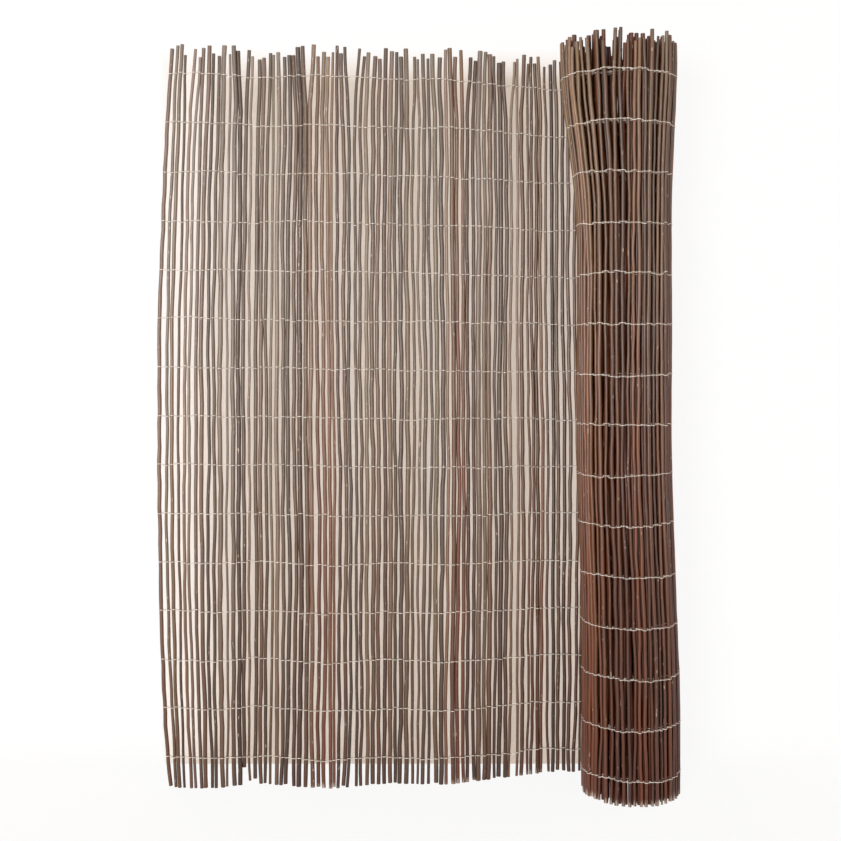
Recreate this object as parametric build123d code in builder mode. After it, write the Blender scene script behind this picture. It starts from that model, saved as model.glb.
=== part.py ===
# Willow rod screen, partly unrolled and standing on its rod ends.
# Straight willow rods stand side by side and are tied by rows of wire into one long mat. About a third
# of the mat runs out as a wavy panel, and the rest is still wound up as a roll at its right end.
# Millimetres. X runs along the panel, Y from its front to its back and Z up.
import os
import random
from math import cos, pi, radians, sin

from build123d import *

os.makedirs("parts", exist_ok=True)

# Rods
rod_length = 1488         # mean height of the cut tops
length_spread = 14        # a top may lie this much higher or lower
foot_spread = 4           # a foot may end this much above the ground
butt = 8.2                # mean thickness at the foot
tip = 6.2                 # mean thickness at the top
thickness_spread = 0.9    # a rod may be this much thicker or thinner
rod_gap = 2.6             # least gap between two of the thickest rods

# Tie wires
wire = 1.4                # thickness of one strand
seat = 0.3                # clearance between a strand and the thickest rods
bottom_row = 55           # height of the lowest row
row_spacing = 98.2        # from row to row
top_margin = 45           # least length of rod left free above the top row

# Panel, from the roll to the free edge: the rods in each straight run, and its heading in degrees
panel_runs = (
    (6, 0.0),
    (7, -4.0),
    (21, 18.5),
    (10, -5.0),
    (10, 16.5),
    (14, -12.0),
    (7, 24.0),
    (9, -5.0),
)

# Roll
roll_radius = 98          # from its axis to the middle of the mat where the panel leaves it
core_radius = 45          # open middle
rods_per_chord = 4        # the outer turn is a ring of short straight runs
nip_chords = 2            # runs at the end of the outer turn that go in under the panel
inner_tops = 4            # how many different heights the inner rods are cut to

# Worked out from the sizes above
rod_pitch = butt + thickness_spread + rod_gap
half_mat = (butt + thickness_spread) / 2
chords_per_turn = round(2 * pi * roll_radius / (rods_per_chord * rod_pitch))
chord_angle = 360 / chords_per_turn
outer_chords = chords_per_turn - nip_chords
chord_rise = roll_radius * (1 - cos(radians(chord_angle / 2)))
turn_pitch = 2 * half_mat + chord_rise + seat
row_count = int((rod_length - bottom_row - top_margin) / row_spacing) + 1
dice = random.Random(20)


def spread(amount):
    return dice.uniform(-amount, amount)


def on_spiral(wrapped):
    # Middle of the mat after so many degrees of winding, clockwise seen from above
    angle = radians(90 - chord_angle / 2 - wrapped)
    radius = roll_radius - turn_pitch * wrapped / 360
    return Vector(radius * cos(angle), radius * sin(angle))


def beside(line, distance):
    # The same line moved sideways, positive to the back of the panel, with mitred corners
    sides = [(end - start).normalized().rotate(Axis.Z, 90) for start, end in zip(line, line[1:])]
    first, last = [sides[0]] + sides, sides + [sides[-1]]
    return [
        point + (a + b) * (distance / (1 + a.dot(b)))
        for point, a, b in zip(line, first, last)
    ]


# Plan of the mat about the axis of the roll, from the free edge to the end of the outer turn
chord_points = [on_spiral(chord * chord_angle) for chord in range(outer_chords + 1)]
panel_points = [chord_points[0]]
for rods, heading in panel_runs:
    panel_points.insert(0, panel_points[0] - Vector(rods * rod_pitch, 0).rotate(Axis.Z, heading))
free_runs = len(panel_runs) - 1   # the front strands stop where the mat enters the roll


def wire_outline(mat, thickest):
    # One wire, doubled round the rod at the free edge: along the back, then along the front
    front = mat[:free_runs + 1]
    back_face = half_mat + seat
    front_face = half_mat - thickest - seat
    around = [mat[0] - (mat[1] - mat[0]).normalized() * wire] + mat[1:]
    around_front = around[:free_runs + 1]
    return (
        beside(around, back_face + wire)[::-1]
        + beside(around_front, front_face - wire)
        + beside(front, front_face)[::-1]
        + beside(mat, back_face)
    )


# The origin is on the ground, at the middle of the plan's box
mat = panel_points + chord_points[1:]
outline = wire_outline(mat, 2 * half_mat)
middle = Vector(
    (min(p.X for p in outline) + max(p.X for p in outline)) / 2,
    (min(p.Y for p in outline) + max(p.Y for p in outline)) / 2,
)
mat = [point - middle for point in mat]


def rod_runs():
    # Start, end and rods of each straight run, from the free edge round to the end of the outer turn
    counts = [rods for rods, heading in panel_runs][::-1] + [rods_per_chord] * outer_chords
    return list(zip(mat, mat[1:], counts))


def rod_bundle(start, end, rods):
    # Tapered rods side by side along one run, their backs in line against the wires
    along = (end - start).normalized()
    back = along.rotate(Axis.Z, 90)
    pitch = (end - start).length / rods
    with BuildPart() as bundle:
        bars = []
        for number in range(rods):
            foot, top = max(0, spread(foot_spread)), rod_length + spread(length_spread)
            extra = spread(thickness_spread)
            for height, thickness in ((foot, butt + extra), (top, tip + extra)):
                sway = spread((pitch - thickness) / 2 - 2 * seat)
                place = start + along * (pitch * (number + 0.5) + sway)
                place += back * (half_mat - thickness / 2) + Vector(0, 0, height)
                with BuildSketch(Plane(origin=place, x_dir=along)):
                    RegularPolygon(thickness / 2, 8, major_radius=False, rotation=22.5)
            bars.append(loft(ruled=True, mode=Mode.PRIVATE))
        add(bars)
    return bundle.part


# Rods of the panel and of the outer turn, one bundle for each straight run
names = [f"panel_rods_{number + 1}" for number in range(len(panel_runs))]
names += [f"outer_turn_rods_{number + 1:02}" for number in range(outer_chords)]
for name, (start, end, rods) in zip(names, rod_runs()):
    bundle = rod_bundle(start, end, rods)
    bundle.label = name
    export_step(bundle, f"parts/{name}.step")

# Tie wires, from the bottom row up
for row in range(row_count):
    height = bottom_row + row * row_spacing
    thickest = 2 * half_mat + (tip - butt) * (height - wire) / rod_length
    with BuildPart() as tie_wire:
        with BuildSketch(Plane.XY.offset(height - wire / 2)):
            with BuildLine():
                Polyline(*wire_outline(mat, thickest), close=True)
            make_face()
        extrude(amount=wire)
    tie_wire.part.label = f"tie_wire_{row + 1:02}"
    export_step(tie_wire.part, f"parts/tie_wire_{row + 1:02}.step")

# Inner turns of the roll: rods as ridges on a wall two wires thick, wound down to the open core
wrapped = (outer_chords + 0.5 / rods_per_chord) * chord_angle
inner_rods = []
while on_spiral(wrapped).length > core_radius:
    place = on_spiral(wrapped)
    inner_rods.append((place - middle, place.normalized(), -chord_angle / 2 - wrapped))
    wrapped += 360 * rod_pitch / (2 * pi * place.length)
tops = [dice.randrange(inner_tops) for rod in inner_rods]

with BuildPart() as inner_turns:
    with BuildSketch():
        with BuildLine():
            outer = [place + outward * wire for place, outward, turned in inner_rods]
            inner = [place - outward * wire for place, outward, turned in inner_rods]
            Polyline(*outer, *inner[::-1], close=True)
        make_face()
    extrude(amount=bottom_row + (row_count - 1) * row_spacing)
    ridges = []
    for choice in range(inner_tops):
        share = 2 * choice / (inner_tops - 1) - 1
        thickness = (butt + tip) / 2 + share * thickness_spread
        places = [
            Location(place + outward * (half_mat - thickness / 2), (0, 0, turned))
            for (place, outward, turned), top in zip(inner_rods, tops)
            if top == choice
        ]
        with BuildSketch():
            with Locations(*places):
                RegularPolygon(thickness / 2, 6, major_radius=False)
        ridges.append(extrude(amount=rod_length + share * length_spread, mode=Mode.PRIVATE))
    add(ridges)
inner_turns.part.label = "inner_turns"
export_step(inner_turns.part, "parts/inner_turns.step")

print(len(mat), "plan points,", sum(rods for start, end, rods in rod_runs()), "rods,",
      len(inner_rods), "inner rods,", row_count, "rows, turn pitch", round(turn_pitch, 2))
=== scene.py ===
import bisect
import math
import random

import bpy
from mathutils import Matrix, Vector, noise


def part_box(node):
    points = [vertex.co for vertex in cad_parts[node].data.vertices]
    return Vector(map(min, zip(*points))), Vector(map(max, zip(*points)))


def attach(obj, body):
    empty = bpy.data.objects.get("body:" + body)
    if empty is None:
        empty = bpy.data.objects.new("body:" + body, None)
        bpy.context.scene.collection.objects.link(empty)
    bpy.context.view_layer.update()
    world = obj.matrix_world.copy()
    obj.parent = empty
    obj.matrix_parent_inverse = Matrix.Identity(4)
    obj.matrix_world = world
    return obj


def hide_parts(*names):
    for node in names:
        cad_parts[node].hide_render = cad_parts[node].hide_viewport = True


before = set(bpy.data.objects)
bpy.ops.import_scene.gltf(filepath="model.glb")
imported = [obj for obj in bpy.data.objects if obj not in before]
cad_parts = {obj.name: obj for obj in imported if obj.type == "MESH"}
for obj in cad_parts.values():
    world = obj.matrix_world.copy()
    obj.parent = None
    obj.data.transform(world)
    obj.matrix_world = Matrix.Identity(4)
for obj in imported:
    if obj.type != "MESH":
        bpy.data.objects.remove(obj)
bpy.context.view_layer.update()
print("frame loaded:", len(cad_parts), "CAD nodes")


def hexColour(text):
    # sRGB hex to the linear colour that the shaders take
    channels = [int(text[i : i + 2], 16) / 255 for i in (1, 3, 5)]
    return [c / 12.92 if c <= 0.04045 else ((c + 0.055) / 1.055) ** 2.4 for c in channels] + [1.0]


def addNode(tree, kind, settings=None, inputs=None):
    # settings are the node's own, with stops for a colour ramp
    # an input takes a value or another node's output
    node = tree.nodes.new(kind)
    for key, value in (settings or {}).items():
        if key != "stops":
            setattr(node, key, value)
            continue
        elements = node.color_ramp.elements
        while len(elements) < len(value):
            elements.new(0.5)
        for element, (position, colour) in zip(elements, value):
            element.position = position
            element.color = hexColour(colour)
    for key, value in (inputs or {}).items():
        if isinstance(value, bpy.types.NodeSocket):
            tree.links.new(value, node.inputs[key])
        else:
            node.inputs[key].default_value = value
    return node


def smoothStep(low, high, value):
    share = min(1.0, max(0.0, (value - low) / (high - low)))
    return share * share * (3 - 2 * share)


# Reading the rods off the CAD frame

endFaces = {
    "flatness": 0.9,  # least upright part of an end's normal
    "topBand": 0.96,  # tops lie above this share of their node's height
    "digits": 5,  # corners that agree to so many digits are one corner
}


def rodEnds(node, facing):
    # (middle, radius) of each rod end in a CAD node that faces up (+1) or down (-1)
    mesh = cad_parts[node].data
    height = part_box(node)[1].z
    owner = {}

    def rootOf(key):
        while owner[key] != key:
            key = owner[key]
        return key

    for face in mesh.polygons:
        atTop = face.center.z > endFaces["topBand"] * height
        if face.normal.z * facing < endFaces["flatness"] or atTop != (facing > 0):
            continue
        keys = [tuple(round(c, endFaces["digits"]) for c in mesh.vertices[v].co) for v in face.vertices]
        for key in keys:
            owner.setdefault(key, key)
        for key in keys[1:]:
            owner[rootOf(key)] = rootOf(keys[0])
    ends = {}
    for key in owner:
        ends.setdefault(rootOf(key), []).append(Vector(key))
    found = []
    for corners in ends.values():
        middle = sum(corners, Vector()) / len(corners)
        found.append((middle, sum((c - middle).length for c in corners) / len(corners)))
    return found


rodNodes = sorted(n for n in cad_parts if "rods" in n)
wireNodes = sorted(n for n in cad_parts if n.startswith("tie_wire"))

cadRods = []
for nodeName in rodNodes + ["inner_turns"]:
    tops = rodEnds(nodeName, 1)
    if nodeName in rodNodes:
        feet = rodEnds(nodeName, -1)
    else:  # the inner turns share one foot, so each rod stands straight below its top
        feet = [(Vector((top.x, top.y, 0)), radius) for top, radius in tops]
    for top, tipRadius in tops:
        foot, buttRadius = min(feet, key=lambda f: (f[0].xy - top.xy).length)
        cadRods.append({"node": nodeName, "foot": foot, "top": top, "butt": buttRadius, "tip": tipRadius})


# The mat: its rods in order from the free edge, and its line in plan

matLine = {
    "pitch": 0.0117,  # metres from rod to rod
    "headingRods": 2,  # the heading is taken over so many rods back
    "softening": 3,  # passes that round the corners between its straight bays
}

mat = [min(cadRods, key=lambda rod: rod["top"].x)]
waiting = [rod for rod in cadRods if rod is not mat[0]]
heading = Vector((1.0, 0.0))
while waiting:  # the next rod is the one nearest to a step ahead
    ahead = mat[-1]["top"].xy + heading * matLine["pitch"]
    following = min(waiting, key=lambda rod: (rod["top"].xy - ahead).length)
    waiting.remove(following)
    mat.append(following)
    back = mat[max(0, len(mat) - 1 - matLine["headingRods"])]
    heading = (following["top"].xy - back["top"].xy).normalized()
panelCount = sum(rod["node"].startswith("panel") for rod in mat)
print("rods in order along the mat:", len(mat), "of them in the panel:", panelCount)

plan = [rod["top"].xy for rod in mat]
for _ in range(matLine["softening"]):
    inner = [(a + 2 * b + c) / 4 for a, b, c in zip(plan, plan[1:], plan[2:])]
    plan = [plan[0]] + inner + [plan[-1]]
planAt = [0.0]
for before, after in zip(plan, plan[1:]):
    planAt.append(planAt[-1] + (after - before).length)
planHeading = [
    (plan[min(i + 1, len(plan) - 1)] - plan[max(i - 1, 0)]).normalized() for i in range(len(plan))
]

rollPlan = [place for place, rod in zip(plan, mat) if rod["node"].startswith("outer")]
rollAxis = sum(rollPlan, Vector((0, 0))) / len(rollPlan)
rollReach = sum((place - rollAxis).length for place in rollPlan) / len(rollPlan)


def onMat(distance):
    # point and heading of the mat's line at a distance from its free edge, straight on past its ends
    i = min(max(bisect.bisect_right(planAt, distance) - 1, 0), len(plan) - 2)
    share = (distance - planAt[i]) / (planAt[i + 1] - planAt[i])
    heading = planHeading[i].lerp(planHeading[i + 1], min(1.0, max(0.0, share))).normalized()
    return plan[i] + (plan[i + 1] - plan[i]) * share, heading


# The rods' own lines: crooked, unevenly spaced and loose above and below the wires

rodLines = {
    "seed": 11,
    "places": 38,  # points along a rod
    "sway": (0.001, 0.0009, 0.0008),  # metres, for bends of each length below
    "bends": ((0.5, 1.1), (0.2, 0.4), (0.08, 0.15)),
    "swaySpread": (0.4, 1.3),  # straightest and most crooked rod, as a share of that
    "swayThrough": 0.45,  # the sway towards the mat's face, as a share
    "drift": 0.006,  # neighbours in the panel lean and bend together
    "driftRods": 11.0,  # across about so many rods
    "driftHeight": 0.4,  # and over such a height
    "driftSlice": 7.7,  # which slice of the noise
    "unevenness": 0.0011,  # from the even spacing along the mat
    "thickness": (0.64, 1.32),  # thinnest and thickest rod, as a share of the CAD rod
    "changeFrom": 0.5,  # share of the panel's length at which rods start to change towards the roll
    "thinnerAtRoll": 0.07,  # the panel's last rods are finer
    "outerThinning": 0.88,  # the outer turn's rods show dark gaps
    "shortFeet": {14: 0.034, 15: 0.006, 16: 0.010},  # panel rods cut shorter at the foot, by their place
    "brownClumps": (28.5, 52.8, 66.5),  # places in the panel where browner rods stand close together
    "brownWidth": 2.2,  # rods
    "brownness": 0.75,  # share of their grey that gives way to brown
    "gathering": 0.13,  # share of the spacing that they close up by
    "panelTrim": 0.007,  # the panel's tops stand lower than the roll's
    "clumpBounds": (0, 4, 14, 26, 34, 54, 62, 73, 84),  # first rod of each clump of tops, then of the roll
    "clumpPull": 0.0065,  # how far a clump's outer tops lean in, which leaves a gap to the next clump
    "topFan": 0.003,  # spread of the ends that no wire holds
    "footFan": 0.002,
    "freeEnd": 0.14,  # height of those ends
    "edgeInset": 0.022,  # the free edge stands out in the middle of its height
    "edgeOut": 0.008,
    "edgeCurve": 2.2,  # power of its bow
    "edgeRods": 7.0,  # rods over which it dies out
    "least": 0.0004,  # clear gap that two rods keep
    "gapPasses": 12,  # times that crowded rods are moved apart
}


def swayOf(dice, heights):
    # one rod's own crookedness at each height
    waves = [
        (size * dice.uniform(*rodLines["swaySpread"]), dice.uniform(*length), dice.uniform(0, math.tau))
        for size, length in zip(rodLines["sway"], rodLines["bends"])
    ]
    return [
        sum(size * math.sin(math.tau * z / length + start) for size, length, start in waves) for z in heights
    ]


dice = random.Random(rodLines["seed"])
count = rodLines["places"]
for i, rod in enumerate(mat):
    inPanel = i < panelCount
    foot = rod["foot"].z + rodLines["shortFeet"].get(i, 0)
    top = rod["top"].z - (rodLines["panelTrim"] if inPanel else 0)
    rod["share"] = [j / (count - 1) for j in range(count)]
    rod["z"] = [foot + (top - foot) * t for t in rod["share"]]
    rod["towardsRoll"] = smoothStep(rodLines["changeFrom"], 1.0, i / panelCount)

    thickness = dice.triangular(*rodLines["thickness"])
    if inPanel:
        thickness *= 1 - rodLines["thinnerAtRoll"] * rod["towardsRoll"]
    elif rod["node"] != "inner_turns":
        thickness *= rodLines["outerThinning"]
    rod["radius"] = thickness * (rod["butt"] + rod["tip"]) / 2

    uneven = dice.gauss(0, rodLines["unevenness"])
    along, through = swayOf(dice, rod["z"]), swayOf(dice, rod["z"])
    topFan, footFan = dice.gauss(0, rodLines["topFan"]), dice.gauss(0, rodLines["footFan"])
    clump = bisect.bisect_right(rodLines["clumpBounds"], i)
    if clump < len(rodLines["clumpBounds"]):
        first, last = rodLines["clumpBounds"][clump - 1], rodLines["clumpBounds"][clump] - 1
        topFan -= rodLines["clumpPull"] * (2 * i - first - last) / (last - first)
    rod["brown"] = 0.0
    for clumpMiddle in rodLines["brownClumps"]:
        near = math.exp(-(((i - clumpMiddle) / rodLines["brownWidth"]) ** 2))
        rod["brown"] = max(rod["brown"], near)
        uneven -= (i - clumpMiddle) * matLine["pitch"] * rodLines["gathering"] * near

    nearEdge = math.exp(-i / rodLines["edgeRods"])
    drifting = rodLines["drift"] * smoothStep(panelCount, panelCount - rodLines["driftRods"], i)
    rod["along"] = []
    for t, z, sway in zip(rod["share"], rod["z"], along):
        spot = (i / rodLines["driftRods"], z / rodLines["driftHeight"], rodLines["driftSlice"])
        drift = drifting * noise.noise(spot)
        bow = rodLines["edgeInset"] * abs(2 * t - 1) ** rodLines["edgeCurve"] - rodLines["edgeOut"]
        fan = topFan * smoothStep(top - rodLines["freeEnd"], top, z)
        fan += footFan * smoothStep(rodLines["freeEnd"], 0, z)
        rod["along"].append(planAt[i] + uneven + sway + drift + nearEdge * bow + fan)
    rod["through"] = [rodLines["swayThrough"] * sway for sway in through]

# two neighbours that would run into each other are moved apart
for j in range(count):
    for _ in range(rodLines["gapPasses"]):
        for a, b in zip(mat, mat[1:]):
            short = a["radius"] + b["radius"] + rodLines["least"] - (b["along"][j] - a["along"][j])
            if short > 0:
                a["along"][j] -= short / 2
                b["along"][j] += short / 2

# shares of the height in a span run from where a change starts to where it is full
rollForm = {
    "topGrowth": 0.009,  # the roll opens towards its top
    "topGrowthSpan": (0.78, 1.0),
    "footGrowth": 0.004,  # and a little towards its foot
    "footGrowthSpan": (0.4, 0.0),
    "topLean": 0.026,  # its left side leans out over the panel
    "topLeanSpan": (0.72, 1.0),
    "rightLean": 0.003,  # and its right side the other way
    "rightLeanSpan": (0.84, 1.0),
    "leanCurve": 1.5,  # power with which a lean grows towards the side
    "shift": -0.005,  # all of it, to the left
    "footShift": 0.013,  # and its foot back to the right
    "footShiftSpan": (0.5, 0.1),
}


def rollOpening(place, share):
    # a point of the roll, moved by the roll's changes of width over its height
    outward = (place - rollAxis).normalized()
    growth = rollForm["topGrowth"] * smoothStep(*rollForm["topGrowthSpan"], share)
    growth += rollForm["footGrowth"] * smoothStep(*rollForm["footGrowthSpan"], share)
    leftward, rightward = [max(0.0, side * outward.x) ** rollForm["leanCurve"] for side in (-1, 1)]
    moved = place + outward * growth * (place - rollAxis).length / rollReach
    moved.x += rollForm["shift"] + rollForm["footShift"] * smoothStep(*rollForm["footShiftSpan"], share)
    moved.x -= rollForm["topLean"] * leftward * smoothStep(*rollForm["topLeanSpan"], share)
    moved.x += rollForm["rightLean"] * rightward * smoothStep(*rollForm["rightLeanSpan"], share)
    return moved


for i, rod in enumerate(mat):
    rod["points"] = []
    for share, z, along, through in zip(rod["share"], rod["z"], rod["along"], rod["through"]):
        place, heading = onMat(along)
        place = place + Vector((-heading.y, heading.x)) * through
        if i >= panelCount:
            place = rollOpening(place, share)
        rod["points"].append(Vector((place.x, place.y, z)))
print("rod lines bent and spaced")


# Geometry Nodes: rods and wires grow along plain lines

rodSkin = {
    "lumps": (0.006, 0.006, 0.045),  # metres, size of the swellings across and along a rod
    "lumpDetail": 1.0,
    "endSlope": 0.7,  # a face more upright than this is a cut end
}


def newTree(treeName, inputs):
    tree = bpy.data.node_groups.new(treeName, "GeometryNodeTree")
    tree.interface.new_socket("Geometry", in_out="INPUT", socket_type="NodeSocketGeometry")
    for inputName, kind in inputs.items():
        tree.interface.new_socket(inputName, in_out="INPUT", socket_type="NodeSocket" + kind)
    tree.interface.new_socket("Geometry", in_out="OUTPUT", socket_type="NodeSocketGeometry")
    return tree, addNode(tree, "NodeGroupInput").outputs


def willowRodTree():
    tree, given = newTree(
        "willowRod",
        {"Ring Spacing": "Float", "Sides": "Int", "Swelling": "Float", "Swelling Scale": "Vector",
         "Bark": "Material", "Cut End": "Material"},
    )
    line = addNode(tree, "GeometryNodeMeshToCurve", {}, {"Mesh": given["Geometry"]})
    rings = addNode(
        tree, "GeometryNodeResampleCurve", {"mode": "LENGTH"},
        {"Curve": line.outputs["Curve"], "Length": given["Ring Spacing"]},
    )
    girth = addNode(tree, "GeometryNodeInputNamedAttribute", {"data_type": "FLOAT"}, {"Name": "girth"})
    where = addNode(tree, "GeometryNodeInputPosition")
    stretched = addNode(
        tree, "ShaderNodeVectorMath", {"operation": "MULTIPLY"},
        {0: where.outputs["Position"], 1: given["Swelling Scale"]},
    )
    lumps = addNode(
        tree, "ShaderNodeTexNoise", {},
        {"Vector": stretched.outputs["Vector"], "Scale": 1.0, "Detail": rodSkin["lumpDetail"]},
    )
    centred = addNode(tree, "ShaderNodeMath", {"operation": "SUBTRACT"}, {0: lumps.outputs["Fac"], 1: 0.5})
    swell = addNode(
        tree, "ShaderNodeMath", {"operation": "MULTIPLY_ADD"},
        {0: centred.outputs["Value"], 1: given["Swelling"], 2: 1.0},
    )
    width = addNode(
        tree, "ShaderNodeMath", {"operation": "MULTIPLY"},
        {0: girth.outputs["Attribute"], 1: swell.outputs["Value"]},
    )
    ring = addNode(
        tree, "GeometryNodeCurvePrimitiveCircle", {}, {"Resolution": given["Sides"], "Radius": 1.0}
    )
    skin = addNode(
        tree, "GeometryNodeCurveToMesh", {},
        {"Curve": rings.outputs["Curve"], "Profile Curve": ring.outputs["Curve"],
         "Scale": width.outputs["Value"], "Fill Caps": True},
    )
    normal = addNode(tree, "GeometryNodeInputNormal")
    axes = addNode(tree, "ShaderNodeSeparateXYZ", {}, {"Vector": normal.outputs["True Normal"]})
    upright = addNode(tree, "ShaderNodeMath", {"operation": "ABSOLUTE"}, {0: axes.outputs["Z"]})
    isEnd = addNode(
        tree, "FunctionNodeCompare", {"operation": "GREATER_THAN"},
        {"A": upright.outputs["Value"], "B": rodSkin["endSlope"]},
    )
    flatEnds = addNode(
        tree, "GeometryNodeSetShadeSmooth", {},
        {"Geometry": skin.outputs["Mesh"], "Selection": isEnd.outputs["Result"], "Shade Smooth": False},
    )
    real = addNode(tree, "GeometryNodeRealizeInstances", {}, {"Geometry": flatEnds.outputs["Geometry"]})
    barked = addNode(
        tree, "GeometryNodeSetMaterial", {}, {"Geometry": real.outputs["Geometry"], "Material": given["Bark"]}
    )
    ended = addNode(
        tree, "GeometryNodeSetMaterial", {},
        {"Geometry": barked.outputs["Geometry"], "Selection": isEnd.outputs["Result"],
         "Material": given["Cut End"]},
    )
    addNode(tree, "NodeGroupOutput", {}, {"Geometry": ended.outputs["Geometry"]})
    return tree


def tieWireTree():
    tree, given = newTree("tieWire", {"Wire Radius": "Float", "Sides": "Int", "Wire": "Material"})
    line = addNode(tree, "GeometryNodeMeshToCurve", {}, {"Mesh": given["Geometry"]})
    ring = addNode(
        tree, "GeometryNodeCurvePrimitiveCircle", {},
        {"Resolution": given["Sides"], "Radius": given["Wire Radius"]},
    )
    skin = addNode(
        tree, "GeometryNodeCurveToMesh", {},
        {"Curve": line.outputs["Curve"], "Profile Curve": ring.outputs["Curve"], "Fill Caps": True},
    )
    real = addNode(tree, "GeometryNodeRealizeInstances", {}, {"Geometry": skin.outputs["Mesh"]})
    wired = addNode(
        tree, "GeometryNodeSetMaterial", {}, {"Geometry": real.outputs["Geometry"], "Material": given["Wire"]}
    )
    addNode(tree, "NodeGroupOutput", {}, {"Geometry": wired.outputs["Geometry"]})
    return tree


def grow(pieceName, lines, tree, inputs):
    # a line is a list of points, with a value per point for each attribute; the result is a plain mesh
    points, edges = [], []
    for line in lines:
        first = len(points)
        points += line["points"]
        edges += [(k, k + 1) for k in range(first, len(points) - 1)]
    mesh = bpy.data.meshes.new(pieceName + "Lines")
    mesh.from_pydata(points, edges, [])
    for key in lines[0]:
        if key != "points":
            values = [v for line in lines for v in line[key]]
            mesh.attributes.new(key, "FLOAT", "POINT").data.foreach_set("value", values)
    source = bpy.data.objects.new(pieceName + "Lines", mesh)
    modifier = source.modifiers.new(tree.name, "NODES")
    modifier.node_group = tree
    for item in tree.interface.items_tree:
        if item.in_out == "INPUT" and item.name in inputs:
            modifier[item.identifier] = inputs[item.name]
    bpy.context.scene.collection.objects.link(source)
    depsgraph = bpy.context.evaluated_depsgraph_get()
    grown = bpy.data.meshes.new_from_object(source.evaluated_get(depsgraph), depsgraph=depsgraph)
    bpy.data.objects.remove(source)
    piece = bpy.data.objects.new(pieceName, grown)
    bpy.context.scene.collection.objects.link(piece)
    print(pieceName, "grown:", sum(len(p.vertices) - 2 for p in grown.polygons), "triangles")
    return piece


# Materials

def newMaterial(materialName):
    material = bpy.data.materials.new(materialName)
    material.use_nodes = True
    material.node_tree.nodes.clear()
    return material, material.node_tree


barkFinish = {
    # size of each pattern in metres, across and along a rod, and its detail
    "patterns": {
        "streaks": ((0.0016, 0.0016, 0.07), 3.0),
        "blotches": ((0.012, 0.012, 0.16), 2.0),
        "specks": ((0.004, 0.004, 0.012), 1.0),
    },
    # what each range of colours follows, and its stops
    "colours": {
        "weatheredHue": (
            "warmth",
            ((0.0, "#938578"), (0.3, "#a18c7a"), (0.55, "#9f836c"), (0.8, "#9c7962"), (1.0, "#95886c")),
        ),
        "freshHue": (
            "warmth",
            ((0.0, "#a08b71"), (0.3, "#b5997b"), (0.55, "#b08c69"), (0.8, "#a9805e"), (1.0, "#aa9466")),
        ),
        "weatheredRise": (  # foot to tip, lighter towards the tip: the bark's own change along the rod, and painted light from above
            "along",
            ((0.0, "#b79a88"), (0.3, "#dccdc0"), (0.55, "#f6f1ea"), (1.0, "#ffffff")),
        ),
        # foot to tip, darker and redder at the foot: the fresh bark's own change along the rod, and painted
        # shade low on the roll, under light from above
        "freshRise": ("along", ((0.0, "#b86c3e"), (0.45, "#d09364"), (1.0, "#e9dfd6"))),
        "depth": ("tone", ((0.0, "#5e5142"), (0.5, "#c0b4a6"), (1.0, "#ffffff"))),  # each rod's darkness: its own tone, and the painted shade towards the roll and in the inner turns; the warm dark end is painted warm light bounced between rods
        "streakShade": ("streaks", ((0.25, "#857b75"), (0.75, "#ffffff"))),
    },
    # what each mask follows, from where to where, and its value before and after
    "masks": {
        # painted glare: the grey of the light from behind grows towards the top of each rod
        "bleaching": ("along", 0.1, 1.0, 0.0, 0.45),
        "streaking": ("blotches", 0.2, 0.8, 0.35, 0.9),
        "peeling": ("specks", 0.66, 0.74, 0.0, 0.6),
        "peelingPlaces": ("blotches", 0.5, 0.65, 0.0, 1.0),
        "footRim": ("along", 0.0, 0.014, 1.0, 0.0),
        "soundRim": ("streaks", 0.4, 0.6, 1.0, 0.25),
    },
    "paintedGlareGrey": "#8b8078",  # painted glare of the light from above and behind, which greys the panel towards its top, along with the bark's own greying at the tips
    "peeled": "#cdb59d",
    "frayed": "#cfc0ae",  # splintered rims of the roll's cut feet
    "roughness": 0.4,
    "bumpStrength": 0.5,
    "bumpDepth": 0.0004,
}


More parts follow.
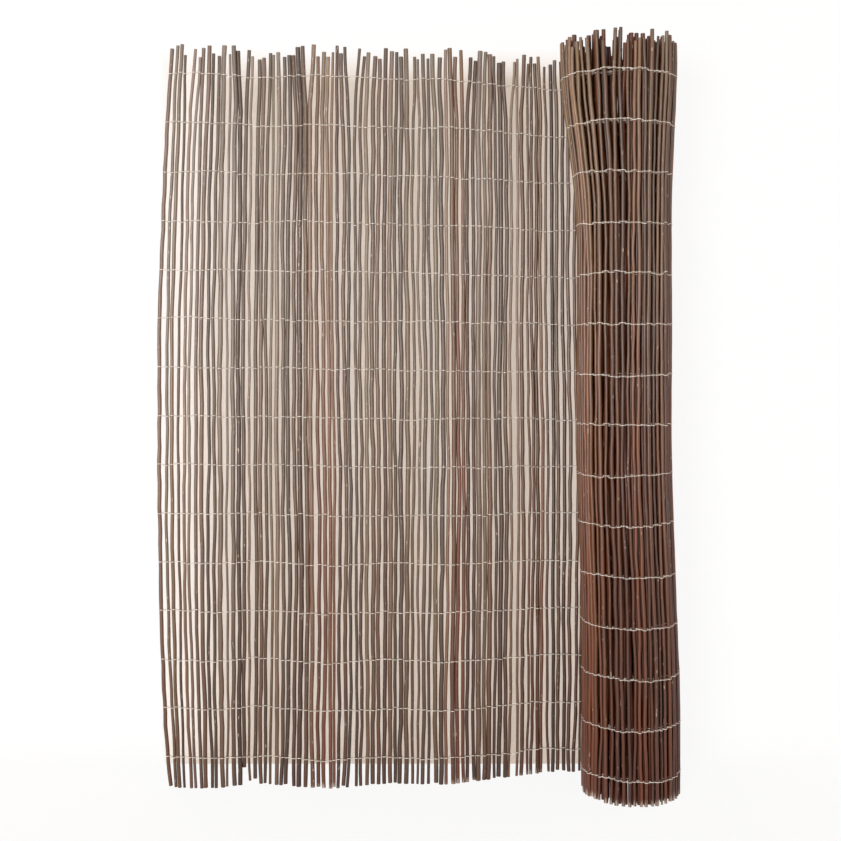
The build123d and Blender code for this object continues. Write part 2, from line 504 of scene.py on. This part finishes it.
def willowBark():
    # dull weathered bark: every rod has its own brown, with streaks along it, pale specks and scuffs
    material, tree = newMaterial("weatheredWillowBark")
    spot = addNode(tree, "ShaderNodeTexCoord").outputs["Object"]
    found = {}  # the values that the layers of colour are made of
    for key in ("tone", "along", "warmth", "weathered"):
        found[key] = addNode(tree, "ShaderNodeAttribute", {"attribute_name": key}).outputs["Fac"]
    for key, (size, detail) in barkFinish["patterns"].items():
        scaled = addNode(
            tree, "ShaderNodeVectorMath", {"operation": "MULTIPLY"}, {0: spot, 1: [1 / s for s in size]}
        )
        pattern = addNode(
            tree, "ShaderNodeTexNoise", {},
            {"Vector": scaled.outputs["Vector"], "Scale": 1.0, "Detail": detail},
        )
        found[key] = pattern.outputs["Fac"]
    for key, (follows, stops) in barkFinish["colours"].items():
        ramp = addNode(tree, "ShaderNodeValToRGB", {"stops": stops}, {"Fac": found[follows]})
        found[key] = ramp.outputs["Color"]
    for key, (follows, start, end, before, after) in barkFinish["masks"].items():
        mask = addNode(
            tree, "ShaderNodeMapRange", {"interpolation_type": "SMOOTHSTEP"},
            {"Value": found[follows], "From Min": start, "From Max": end, "To Min": before, "To Max": after},
        )
        found[key] = mask.outputs["Result"]
    found["scuffs"] = addNode(
        tree, "ShaderNodeMath", {"operation": "MULTIPLY"}, {0: found["peeling"], 1: found["peelingPlaces"]}
    ).outputs["Value"]
    sound = addNode(
        tree, "ShaderNodeMath", {"operation": "MAXIMUM"}, {0: found["weathered"], 1: found["soundRim"]}
    )
    found["fray"] = addNode(
        tree, "ShaderNodeMath", {"operation": "SUBTRACT", "use_clamp": True},
        {0: found["footRim"], 1: sound.outputs["Value"]},
    ).outputs["Value"]

    for made, under, over, how, share in (
        ("grey", "weatheredHue", "weatheredRise", "MULTIPLY", 1.0),
        ("grey", "grey", barkFinish["paintedGlareGrey"], "MIX", "bleaching"),
        ("fresh", "freshHue", "freshRise", "MULTIPLY", 1.0),
        ("colour", "fresh", "grey", "MIX", "weathered"),
        ("colour", "colour", "depth", "MULTIPLY", 1.0),
        ("colour", "colour", "streakShade", "MULTIPLY", "streaking"),
        ("colour", "colour", barkFinish["peeled"], "MIX", "scuffs"),
        ("colour", "colour", barkFinish["frayed"], "MIX", "fray"),
    ):
        cover = found[over] if over in found else hexColour(over)
        mixed = addNode(
            tree, "ShaderNodeMix", {"data_type": "RGBA", "blend_type": how},
            {0: found.get(share, share), 6: found[under], 7: cover},
        )
        found[made] = mixed.outputs[2]
    bump = addNode(
        tree, "ShaderNodeBump", {},
        {"Height": found["streaks"], "Strength": barkFinish["bumpStrength"],
         "Distance": barkFinish["bumpDepth"]},
    )
    surface = addNode(
        tree, "ShaderNodeBsdfPrincipled", {},
        {"Base Color": found["colour"], "Normal": bump.outputs["Normal"],
         "Roughness": barkFinish["roughness"]},
    )
    addNode(tree, "ShaderNodeOutputMaterial", {}, {"Surface": surface.outputs["BSDF"]})
    return material


plainFinishes = {
    "cutWillowEnd": {  # pale sawn wood, gone grey in the weather and quite matt
        "patternSize": 0.002,  # metres, bundles of fibres
        "patternDetail": 2.0,
        "colours": ((0.3, "#a08467"), (0.7, "#d6c3a8")),
        "roughness": 0.8,
        "metallic": 0.0,
    },
    "galvanisedTieWire": {  # chalky old zinc, which catches the light where it crosses each rod
        "patternSize": 0.03,  # metres, stains along the wire
        "patternDetail": 2.0,
        "colours": ((0.3, "#cfc3b5"), (0.65, "#eee6da")),
        "roughness": 0.45,
        "metallic": 0.15,  # little bare metal is left
    },
}


def plainMaterial(materialName):
    # two tones of one colour, in a pattern of the size that its finish gives
    finish = plainFinishes[materialName]
    material, tree = newMaterial(materialName)
    spot = addNode(tree, "ShaderNodeTexCoord").outputs["Object"]
    pattern = addNode(
        tree, "ShaderNodeTexNoise", {},
        {"Vector": spot, "Scale": 1 / finish["patternSize"], "Detail": finish["patternDetail"]},
    )
    colour = addNode(
        tree, "ShaderNodeValToRGB", {"stops": finish["colours"]}, {"Fac": pattern.outputs["Fac"]}
    )
    surface = addNode(
        tree, "ShaderNodeBsdfPrincipled", {},
        {"Base Color": colour.outputs["Color"], "Roughness": finish["roughness"],
         "Metallic": finish["metallic"]},
    )
    addNode(tree, "ShaderNodeOutputMaterial", {}, {"Surface": surface.outputs["BSDF"]})
    return material


bark = willowBark()
cutEnd = plainMaterial("cutWillowEnd")
zinc = plainMaterial("galvanisedTieWire")
print("materials made")


# Rods

# weathered is the share of grey bark, rise the stretch of the colours from foot to tip with their painted
# light, tones the darkest and lightest rod, and shade the painted shade that darkens them towards the roll,
# which takes their light
rodPieces = {
    "panelRods": {
        "nodes": "panel_rods", "ringSpacing": 0.024, "sides": 9, "swelling": 0.34,
        "weathered": 1.0, "rise": (0.0, 1.0), "tones": (0.27, 0.95), "shade": 0.22,
    },
    "outerTurnRods": {
        "nodes": "outer_turn_rods", "ringSpacing": 0.024, "sides": 9, "swelling": 0.34,
        "weathered": 0.2, "rise": (0.0, 1.0), "tones": (0.2, 0.92), "shade": 0.0,
    },
    # the inner turns' low tones are painted shade, for lying behind the outer turn
    "innerTurnRods": {
        "nodes": "inner_turns", "ringSpacing": 0.045, "sides": 7, "swelling": 0.25,
        "weathered": 0.0, "rise": (0.05, 0.3), "tones": (0.28, 0.6), "shade": 0.0,
    },
}
toneSeed = 5

dice = random.Random(toneSeed)
for rod in mat:
    rod["tone"], rod["warmth"] = dice.random(), dice.random()


def dressedLine(rod, form):
    # one rod's points, with what the tree and the bark read at each of them
    darkest, lightest = form["tones"]
    low, high = form["rise"]
    # painted shade: the tone drops towards the roll, where less light reaches the rods
    tone = darkest + (lightest - darkest) * rod["tone"] - form["shade"] * rod["towardsRoll"]
    weathered = form["weathered"] * (1 - rodLines["brownness"] * rod["brown"])
    return {
        "points": rod["points"],
        "girth": [rod["radius"]] * count,
        "along": [low + (high - low) * share for share in rod["share"]],
        "tone": [tone] * count,
        "warmth": [rod["warmth"]] * count,
        "weathered": [weathered] * count,
    }


rodTree = willowRodTree()
for pieceName, form in rodPieces.items():
    members = [rod for rod in mat if rod["node"].startswith(form["nodes"])]
    piece = grow(
        pieceName, [dressedLine(rod, form) for rod in members], rodTree,
        {"Ring Spacing": form["ringSpacing"], "Sides": form["sides"], "Swelling": form["swelling"],
         "Swelling Scale": [1 / size for size in rodSkin["lumps"]], "Bark": bark, "Cut End": cutEnd},
    )
    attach(piece, "root")
    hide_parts(*sorted({rod["node"] for rod in members}))


# Tie wires: two strands twined through the rods, crossing in every gap

wireLines = {
    "seed": 23,
    "radius": 0.00066,
    "sides": 5,
    "hold": 66,  # degrees of a rod's face that a strand lies on, each way
    "fineSteps": 5,  # points on that face
    "coarseSteps": 3,  # the same in the inner turns, out of sight
    "edgeLift": 0.006,  # rows stand higher at the free edge than on the roll
    "rollDrop": -0.008,
    "wander": 0.0048,  # slow rise and fall of a row
    "wanderScale": 9.0,  # waves of it per metre
    "rowSlice": 5.3,  # step in the noise from row to row
    "jitter": 0.0011,  # from rod to rod
    "crossing": 0.0014,  # how far over and under each other the strands pass
}


def rodAt(rod, z):
    # middle of a rod at a height
    k = min(max(bisect.bisect_right(rod["z"], z) - 1, 0), count - 2)
    share = (z - rod["z"][k]) / (rod["z"][k + 1] - rod["z"][k])
    return rod["points"][k].lerp(rod["points"][k + 1], share)


def rowMiddles(row, level, dice):
    # where one row of wire holds each rod
    middles = []
    for rod, distance in zip(mat, planAt):
        share = min(1.0, distance / planAt[panelCount])
        z = level + wireLines["edgeLift"] * (1 - share) + wireLines["rollDrop"] * share
        spot = (distance * wireLines["wanderScale"], row * wireLines["rowSlice"], 0)
        z += wireLines["wander"] * noise.noise(spot) + dice.gauss(0, wireLines["jitter"])
        middles.append(rodAt(rod, z))
    return middles


def strandPoints(row, strand, middles):
    # one strand of a row: in front of one rod, behind the next
    points = []
    hold = math.radians(wireLines["hold"])
    for i, (rod, middle) in enumerate(zip(mat, middles)):
        before, after = middles[max(i - 1, 0)], middles[min(i + 1, len(middles) - 1)]
        heading = Vector((after.x - before.x, after.y - before.y, 0)).normalized()
        face = Vector((-heading.y, heading.x, 0)) * (1 if (i + row + strand) % 2 else -1)
        steps = wireLines["coarseSteps"] if rod["node"] == "inner_turns" else wireLines["fineSteps"]
        for k in range(steps):
            turn = hold * (2 * k / (steps - 1) - 1)
            outward = heading * math.sin(turn) + face * math.cos(turn)
            points.append(middle + (rod["radius"] + wireLines["radius"]) * outward)
        if i + 1 < len(mat):  # the strands pass over each other in the middle of the gap
            span = (after - middle).length
            crossing = middle.lerp(after, (rod["radius"] + span - mat[i + 1]["radius"]) / 2 / span)
            crossing.z += wireLines["crossing"] * (1 if strand == i % 2 else -1)
            points.append(crossing)
    return points


wirePieces = {"lowerTieWires": (0, 5), "middleTieWires": (5, 10), "upperTieWires": (10, 15)}
wireTree = tieWireTree()
dice = random.Random(wireLines["seed"])
for pieceName, (first, last) in wirePieces.items():
    lines = []
    for row in range(first, last):
        low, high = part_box(wireNodes[row])
        middles = rowMiddles(row, (low.z + high.z) / 2, dice)
        lines += [{"points": strandPoints(row, strand, middles)} for strand in (0, 1)]
    piece = grow(
        pieceName, lines, wireTree,
        {"Wire Radius": wireLines["radius"], "Sides": wireLines["sides"], "Wire": zinc},
    )
    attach(piece, "root")
    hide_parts(*wireNodes[first:last])


# Stage: pale floor and backdrop, soft studio light, the photograph's camera

stageSet = {
    "white": "#ffffff",
    "paper": "#f7f4f0",
    "floorSize": 30.0,
    "floorGlow": (0.91, 1.0),  # share of plain white in what the eye sees of the floor, near and far
    "floorReach": (1.2, 3.0),  # metres from the middle that count as near and far
    "wallGlow": 0.55,  # the same share on the wall behind the panel, which takes its shadow
    "wallTint": "#f6e4d4",
    "wallMiddle": (-0.06, 0.0, 0.52),  # that stretch of wall: its middle, half sizes and soft rim
    "wallHalf": (0.508, 1.0, 1.02),
    "wallRim": 0.07,
    "wallFoot": 0.95,  # its width where the sweep meets the floor, nearer to the eye
    "sweepStart": 0.14,  # the backdrop leaves the floor behind the roll
    "sweepRadius": 0.08,
    "sweepStep": 6,  # degrees
    "sweepLift": 0.0005,  # clear of the floor
    "sweepTop": 3.5,
    "sweepWidth": 8.0,
    "worldLight": 0.3,
    "worldColour": "#ffdab4",
}


def seenRay(tree):
    # 1 for what the eye sees, straight or in metal and glass
    path = addNode(tree, "ShaderNodeLightPath")
    seen = path.outputs["Is Camera Ray"]
    for ray in ("Is Glossy Ray", "Is Transmission Ray"):
        larger = addNode(tree, "ShaderNodeMath", {"operation": "MAXIMUM"}, {0: seen, 1: path.outputs[ray]})
        seen = larger.outputs["Value"]
    return seen


def palePaper(tree, distance, reach, glows, tints):
    # matt paper: white to the eye, and still dimmed by the shadow that lies on it
    outside = addNode(
        tree, "ShaderNodeMapRange", {}, {"Value": distance, "From Min": reach[0], "From Max": reach[1]}
    ).outputs["Result"]
    glowing = addNode(
        tree, "ShaderNodeMapRange", {}, {"Value": outside, "To Min": glows[0], "To Max": glows[1]}
    )
    share = addNode(
        tree, "ShaderNodeMath", {"operation": "MULTIPLY"}, {0: seenRay(tree), 1: glowing.outputs["Result"]}
    )
    tint = addNode(tree, "ShaderNodeValToRGB", {"stops": tuple(enumerate(tints))}, {"Fac": outside})
    plain = addNode(tree, "ShaderNodeBsdfDiffuse", {}, {"Color": hexColour(stageSet["paper"])})
    glow = addNode(tree, "ShaderNodeEmission", {}, {"Color": tint.outputs["Color"], "Strength": 1.0})
    return addNode(
        tree, "ShaderNodeMixShader", {},
        {0: share.outputs["Value"], 1: plain.outputs["BSDF"], 2: glow.outputs["Emission"]},
    ).outputs["Shader"]


def paleFloor():
    # the glow grows with the distance from the middle of the floor
    material, tree = newMaterial("paleFloor")
    spot = addNode(tree, "ShaderNodeTexCoord").outputs["Object"]
    distance = addNode(tree, "ShaderNodeVectorMath", {"operation": "LENGTH"}, {0: spot}).outputs["Value"]
    tints = (stageSet["white"], stageSet["white"])
    surface = palePaper(tree, distance, stageSet["floorReach"], stageSet["floorGlow"], tints)
    addNode(tree, "ShaderNodeOutputMaterial", {}, {"Surface": surface})
    return material


def paleBackdrop():
    # warm behind the panel, and white outside the rim of that stretch of wall
    material, tree = newMaterial("paleBackdrop")
    spot = addNode(tree, "ShaderNodeTexCoord").outputs["Object"]
    centred = addNode(
        tree, "ShaderNodeVectorMath", {"operation": "SUBTRACT"}, {0: spot, 1: stageSet["wallMiddle"]}
    )
    scaled = addNode(
        tree, "ShaderNodeVectorMath", {"operation": "DIVIDE"},
        {0: centred.outputs["Vector"], 1: stageSet["wallHalf"]},
    )
    outward = addNode(tree, "ShaderNodeVectorMath", {"operation": "ABSOLUTE"}, {0: scaled.outputs["Vector"]})
    axes = addNode(tree, "ShaderNodeSeparateXYZ", {}, {"Vector": outward.outputs["Vector"]})
    depth = addNode(tree, "ShaderNodeSeparateXYZ", {}, {"Vector": spot})
    narrowing = addNode(
        tree, "ShaderNodeMapRange", {},
        {"Value": depth.outputs["Y"], "From Min": stageSet["sweepStart"],
         "From Max": stageSet["sweepStart"] + stageSet["sweepRadius"],
         "To Min": stageSet["wallFoot"], "To Max": 1.0},
    )
    sideways = addNode(
        tree, "ShaderNodeMath", {"operation": "DIVIDE"},
        {0: axes.outputs["X"], 1: narrowing.outputs["Result"]},
    )
    distance = addNode(  # 1 at the rim
        tree, "ShaderNodeMath", {"operation": "MAXIMUM"}, {0: sideways.outputs["Value"], 1: axes.outputs["Z"]}
    ).outputs["Value"]
    front = palePaper(
        tree, distance, (1 - stageSet["wallRim"], 1.0), (stageSet["wallGlow"], stageSet["floorGlow"][0]),
        (stageSet["wallTint"], stageSet["white"]),
    )
    side = addNode(tree, "ShaderNodeNewGeometry")  # it has a front only, so the fence shows from behind
    clear = addNode(tree, "ShaderNodeBsdfTransparent")
    surface = addNode(
        tree, "ShaderNodeMixShader", {}, {0: side.outputs["Backfacing"], 1: front, 2: clear.outputs["BSDF"]}
    )
    addNode(tree, "ShaderNodeOutputMaterial", {}, {"Surface": surface.outputs["Shader"]})
    return material


def stagePiece(pieceName, points, faces, material):
    mesh = bpy.data.meshes.new(pieceName)
    mesh.from_pydata(points, [], faces)
    mesh.materials.append(material)
    mesh.shade_smooth()
    piece = bpy.data.objects.new(pieceName, mesh)
    bpy.context.scene.collection.objects.link(piece)


half = stageSet["floorSize"] / 2
corners = [(-half, -half, 0), (half, -half, 0), (half, half, 0), (-half, half, 0)]
stagePiece("floor", corners, [(0, 1, 2, 3)], paleFloor())

radius, wide = stageSet["sweepRadius"], stageSet["sweepWidth"] / 2
profile = []
for angle in range(0, 91, stageSet["sweepStep"]):
    turn = math.radians(angle)
    back = stageSet["sweepStart"] + radius * math.sin(turn)
    profile.append((back, stageSet["sweepLift"] + radius * (1 - math.cos(turn))))
profile.append((profile[-1][0], stageSet["sweepTop"]))
stagePiece(
    "backdrop",
    [(x, y, z) for y, z in profile for x in (-wide, wide)],
    [(2 * k, 2 * k + 1, 2 * k + 3, 2 * k + 2) for k in range(len(profile) - 1)],
    paleBackdrop(),
)


def studioWorld():
    # faint warm light from all round, and plain white to the eye
    world = bpy.data.worlds.new("studio")
    world.use_nodes = True
    tree = world.node_tree
    tree.nodes.clear()
    seen = seenRay(tree)
    level = addNode(
        tree, "ShaderNodeMapRange", {}, {"Value": seen, "To Min": stageSet["worldLight"], "To Max": 1.0}
    )
    colour = addNode(
        tree, "ShaderNodeMix", {"data_type": "RGBA"},
        {0: seen, 6: hexColour(stageSet["worldColour"]), 7: hexColour(stageSet["white"])},
    )
    sky = addNode(
        tree, "ShaderNodeBackground", {}, {"Color": colour.outputs[2], "Strength": level.outputs["Result"]}
    )
    addNode(tree, "ShaderNodeOutputWorld", {}, {"Surface": sky.outputs["Background"]})
    return world


bpy.context.scene.world = studioWorld()

softboxes = {
    "keySoftbox": {
        "place": (-1.7, -4.5, 1.2), "target": (0, 0, 0.8), "size": 1.5, "power": 225.0, "colour": "#f1f7ff",
    },
    "fillSoftbox": {
        "place": (2.2, -2.2, 1.3), "target": (0, 0, 0.7), "size": 1.6, "power": 14.0, "colour": "#ffffff",
    },
}
for lightName, lamp in softboxes.items():
    data = bpy.data.lights.new(lightName, "AREA")
    data.shape = "SQUARE"
    data.size = lamp["size"]
    data.energy = lamp["power"]
    data.color = hexColour(lamp["colour"])[:3]
    light = bpy.data.objects.new(lightName, data)
    light.location = lamp["place"]
    aim = Vector(lamp["target"]) - Vector(lamp["place"])
    light.rotation_euler = aim.to_track_quat("-Z", "Y").to_euler()
    bpy.context.scene.collection.objects.link(light)

cameraView = {"place": (0.0055, -2.3945, 0.88), "sensor": 36, "lens": 51.03, "shiftY": -0.0838}
cameraData = bpy.data.cameras.new("camera")
cameraData.sensor_width = cameraView["sensor"]
cameraData.lens = cameraView["lens"]
cameraData.shift_y = cameraView["shiftY"]
camera = bpy.data.objects.new("camera", cameraData)
camera.location = cameraView["place"]
camera.rotation_euler = (math.pi / 2, 0, 0)  # level, looking along +Y
bpy.context.scene.collection.objects.link(camera)
bpy.context.scene.camera = camera
bpy.context.scene.view_settings.view_transform = "Standard"
print("stage set")
